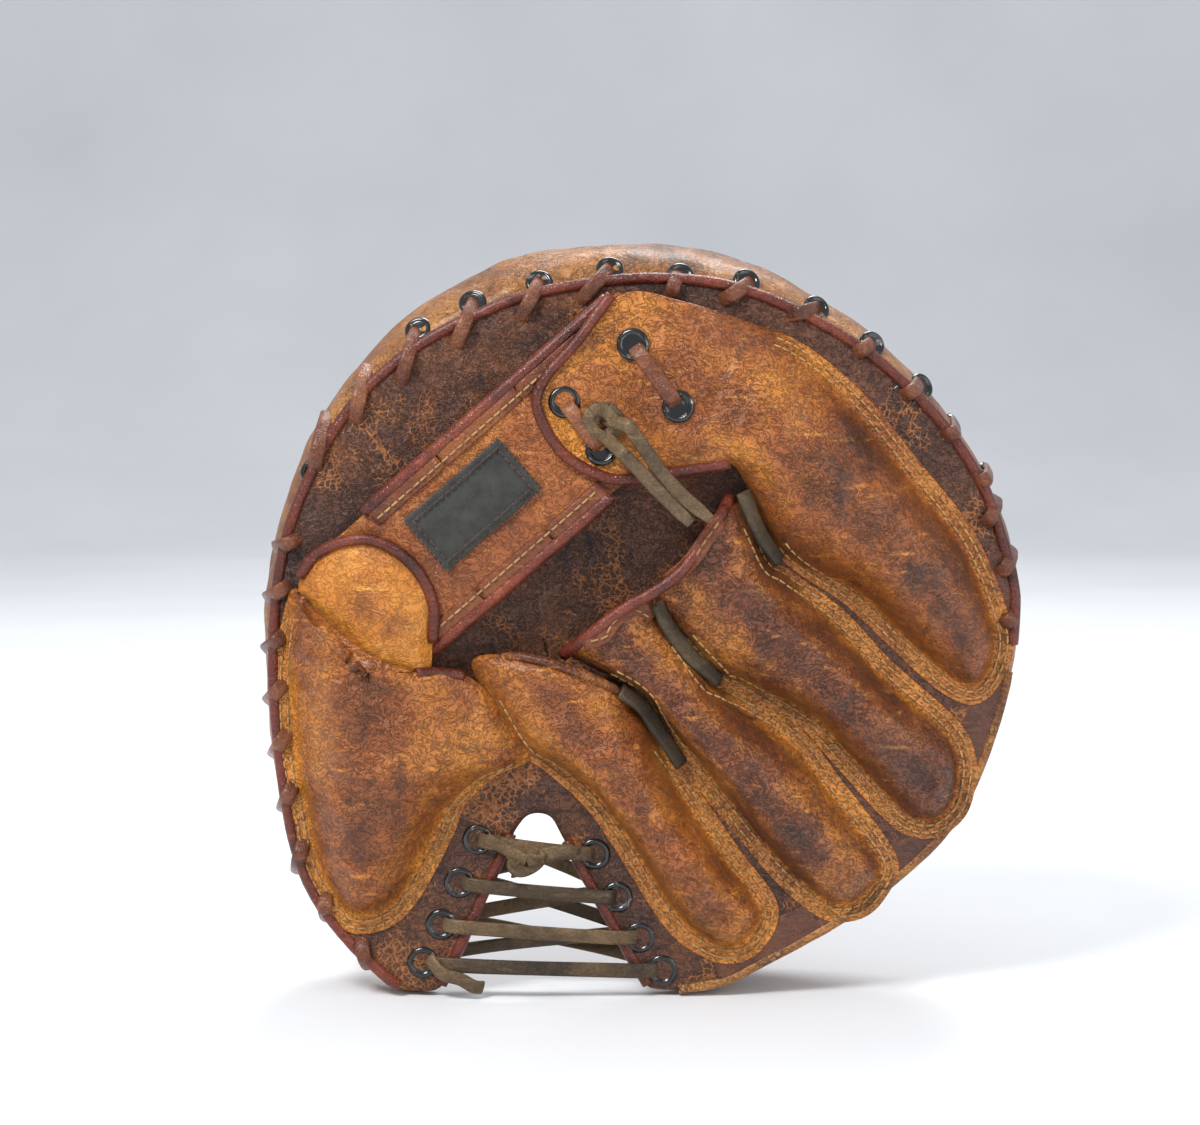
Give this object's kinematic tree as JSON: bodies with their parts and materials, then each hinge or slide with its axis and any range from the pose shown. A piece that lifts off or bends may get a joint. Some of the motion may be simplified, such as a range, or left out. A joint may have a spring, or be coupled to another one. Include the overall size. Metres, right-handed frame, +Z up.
{
  "type": "baseball catchers mitt",
  "caption": "Round padded catcher's mitt for the left hand, with laced rim, finger and thumb stalls, wrist strap and laced web.",
  "frame": {"origin": "middle of the bounding box's base, on the floor under the mitt's rim", "axes": "+Z up as the mitt stands on its rim, heel and wrist strap at the upper left; +Y out of the ball pocket; the back of the hand faces -Y; +X towards the little finger's side"},
  "size_m": [0.2899, 0.0987, 0.286],
  "materials": {
    "tan_leather": "worn, waxed, creased",
    "shell_leather": "crackled, worn",
    "lining_leather": "cracked, matt",
    "piping_leather": "glossy",
    "rawhide_lace": "suede on one side",
    "suede_binding": "suede",
    "pad_felt": "pressed felt",
    "label_felt": "napped felt",
    "eyelet_metal": "black enamel, rubbed bright"
  },
  "bodies": {
    "finger_side": {"palm_shell_fingers": "shell_leather", "lining_fingers": "lining_leather", "palm_pad_fingers": "pad_felt", "rim_lace_fingers": "rawhide_lace", "rim_piping_fingers": "piping_leather", "toe_welt": "tan_leather", "web_lace": "rawhide_lace", "web_eyelet_fingers_1": "eyelet_metal", "web_eyelet_fingers_2": "eyelet_metal", "web_eyelet_fingers_3": "eyelet_metal", "web_eyelet_fingers_4": "eyelet_metal", "web_piping_fingers": "piping_leather", "finger_seam_base": "tan_leather", "stall_little": "tan_leather", "stall_ring": "tan_leather", "stall_middle": "tan_leather", "stall_index": "tan_leather", "slit_binding_little_ring": "suede_binding", "slit_binding_ring_middle": "suede_binding", "slit_binding_middle_index": "suede_binding", "opening_piping_fingers": "piping_leather", "wrist_strap": "tan_leather", "strap_piping_upper": "piping_leather", "strap_piping_lower": "piping_leather", "label_patch": "label_felt", "wrist_tab": "tan_leather", "tab_eyelet_1": "eyelet_metal", "tab_eyelet_2": "eyelet_metal", "tab_eyelet_3": "eyelet_metal", "tab_eyelet_4": "eyelet_metal", "tab_lace": "rawhide_lace", "tab_piping": "piping_leather", "tab_lace_knot": "rawhide_lace", "lace_end_long": "rawhide_lace", "lace_end_short": "rawhide_lace", "thumb_tab": "tan_leather", "thumb_tab_piping": "piping_leather"},
    "thumb_side": {"palm_shell_thumb": "shell_leather", "lining_thumb": "lining_leather", "palm_pad_thumb": "pad_felt", "rim_lace_thumb": "rawhide_lace", "rim_piping_thumb": "piping_leather", "web_eyelet_thumb_1": "eyelet_metal", "web_eyelet_thumb_2": "eyelet_metal", "web_eyelet_thumb_3": "eyelet_metal", "web_eyelet_thumb_4": "eyelet_metal", "web_piping_thumb": "piping_leather", "stall_thumb": "tan_leather", "thumb_seam_base": "tan_leather", "opening_piping_thumb": "piping_leather"}
  },
  "joints": [
    {"name": "mitt_close", "type": "hinge", "parent": "finger_side", "child": "thumb_side", "pos_m": [-0.033, -0.0166, 0.06], "axis": [0.369, 0, -0.9294], "range_deg": [0, 15], "stiffness_Nm_per_rad": 8, "deforming": ["web_lace"]}
  ]
}
